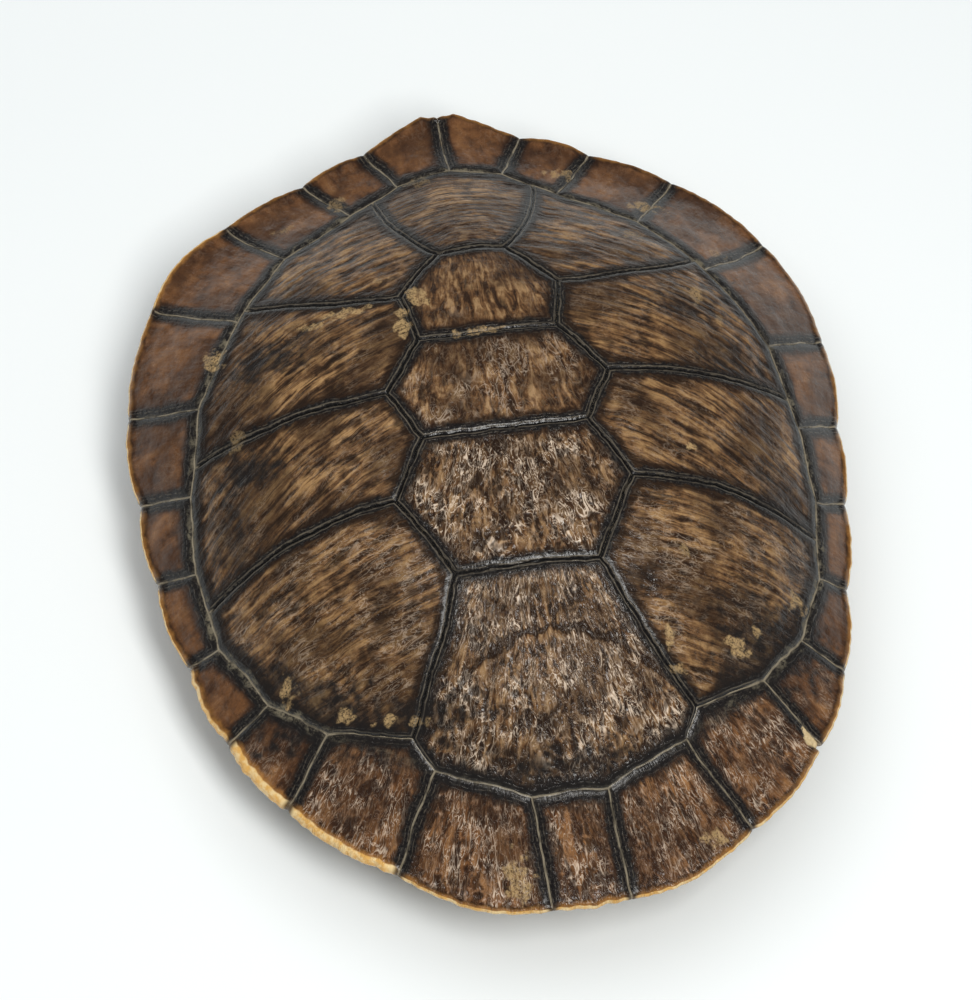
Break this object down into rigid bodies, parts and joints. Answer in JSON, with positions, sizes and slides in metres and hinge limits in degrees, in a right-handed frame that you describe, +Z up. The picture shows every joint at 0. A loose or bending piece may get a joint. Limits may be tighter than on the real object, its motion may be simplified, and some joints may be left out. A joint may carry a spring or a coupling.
{
  "type": "turtle shell",
  "caption": "Freshwater turtle's whole shell: domed carapace of bone under brown horny scutes, joined by side bridges to a flat plastron, open at the head, legs and tail.",
  "frame": {"origin": "centre of the shell's bounding box, on the surface that the plastron rests on", "axes": "-Y towards the head and +Y towards the tail, along the shell's length; +X to the right of the picture, across the shell; +Z up"},
  "size_m": [0.1868, 0.2279, 0.074],
  "materials": {
    "carapace_bone": "dry bone",
    "plastron_bone": "dry bone",
    "nuchal": "worn glossy keratin, ragged front edge",
    "vertebral_1": "worn glossy keratin, growth wrinkles",
    "vertebral_2": "worn glossy keratin, growth wrinkles",
    "vertebral_3": "worn glossy keratin, growth wrinkles",
    "vertebral_4": "worn glossy keratin, growth wrinkles",
    "vertebral_5": "worn glossy keratin, growth wrinkles",
    "costal_right_1": "worn glossy keratin, streaked",
    "costal_right_2": "worn glossy keratin, streaked",
    "costal_right_3": "worn glossy keratin, streaked",
    "costal_right_4": "worn glossy keratin, streaked",
    "costal_left_1": "worn glossy keratin, streaked",
    "costal_left_2": "worn glossy keratin, streaked",
    "costal_left_3": "worn glossy keratin, streaked",
    "costal_left_4": "worn glossy keratin, streaked",
    "marginal_right_1": "smooth glossy keratin with a pale worn rim",
    "marginal_right_2": "smooth glossy keratin with a pale worn rim",
    "marginal_right_3": "smooth glossy keratin with a pale worn rim",
    "marginal_right_4": "smooth glossy keratin with a pale worn rim",
    "marginal_right_5": "smooth glossy keratin with a pale worn rim",
    "marginal_right_6": "smooth glossy keratin with a pale worn rim",
    "marginal_right_7": "smooth glossy keratin with a pale worn rim",
    "marginal_right_8": "smooth glossy keratin with a pale worn rim",
    "marginal_right_9": "smooth glossy keratin with a pale worn rim",
    "marginal_right_10": "smooth glossy keratin with a pale worn rim",
    "marginal_right_11": "smooth glossy keratin with a pale worn rim",
    "marginal_right_12": "smooth glossy keratin with a pale worn rim",
    "marginal_left_1": "smooth glossy keratin with a pale worn rim",
    "marginal_left_2": "smooth glossy keratin with a pale worn rim",
    "marginal_left_3": "smooth glossy keratin with a pale worn rim",
    "marginal_left_4": "smooth glossy keratin with a pale worn rim",
    "marginal_left_5": "smooth glossy keratin with a pale worn rim",
    "marginal_left_6": "smooth glossy keratin with a pale worn rim",
    "marginal_left_7": "smooth glossy keratin with a pale worn rim",
    "marginal_left_8": "smooth glossy keratin with a pale worn rim",
    "marginal_left_9": "smooth glossy keratin with a pale worn rim",
    "marginal_left_10": "smooth glossy keratin with a pale worn rim",
    "marginal_left_11": "smooth glossy keratin with a pale worn rim",
    "marginal_left_12": "smooth glossy keratin with a pale worn rim",
    "intergular": "satin horn with dark seams",
    "gular_right": "satin horn with dark seams",
    "gular_left": "satin horn with dark seams",
    "humeral_right": "satin horn with dark seams",
    "humeral_left": "satin horn with dark seams",
    "pectoral_right": "satin horn with dark seams",
    "pectoral_left": "satin horn with dark seams",
    "abdominal_right": "satin horn with dark seams",
    "abdominal_left": "satin horn with dark seams",
    "femoral_right": "satin horn with dark seams",
    "femoral_left": "satin horn with dark seams",
    "anal_right": "satin horn with dark seams",
    "anal_left": "satin horn with dark seams"
  },
  "bodies": {
    "root": {"carapace_bone": "carapace_bone", "plastron_bone": "plastron_bone", "nuchal": "nuchal", "vertebral_1": "vertebral_1", "vertebral_2": "vertebral_2", "vertebral_3": "vertebral_3", "vertebral_4": "vertebral_4", "vertebral_5": "vertebral_5", "costal_right_1": "costal_right_1", "costal_right_2": "costal_right_2", "costal_right_3": "costal_right_3", "costal_right_4": "costal_right_4", "costal_left_1": "costal_left_1", "costal_left_2": "costal_left_2", "costal_left_3": "costal_left_3", "costal_left_4": "costal_left_4", "marginal_right_1": "marginal_right_1", "marginal_right_2": "marginal_right_2", "marginal_right_3": "marginal_right_3", "marginal_right_4": "marginal_right_4", "marginal_right_5": "marginal_right_5", "marginal_right_6": "marginal_right_6", "marginal_right_7": "marginal_right_7", "marginal_right_8": "marginal_right_8", "marginal_right_9": "marginal_right_9", "marginal_right_10": "marginal_right_10", "marginal_right_11": "marginal_right_11", "marginal_right_12": "marginal_right_12", "marginal_left_1": "marginal_left_1", "marginal_left_2": "marginal_left_2", "marginal_left_3": "marginal_left_3", "marginal_left_4": "marginal_left_4", "marginal_left_5": "marginal_left_5", "marginal_left_6": "marginal_left_6", "marginal_left_7": "marginal_left_7", "marginal_left_8": "marginal_left_8", "marginal_left_9": "marginal_left_9", "marginal_left_10": "marginal_left_10", "marginal_left_11": "marginal_left_11", "marginal_left_12": "marginal_left_12", "intergular": "intergular", "gular_right": "gular_right", "gular_left": "gular_left", "humeral_right": "humeral_right", "humeral_left": "humeral_left", "pectoral_right": "pectoral_right", "pectoral_left": "pectoral_left", "abdominal_right": "abdominal_right", "abdominal_left": "abdominal_left", "femoral_right": "femoral_right", "femoral_left": "femoral_left", "anal_right": "anal_right", "anal_left": "anal_left"}
  },
  "joints": []
}
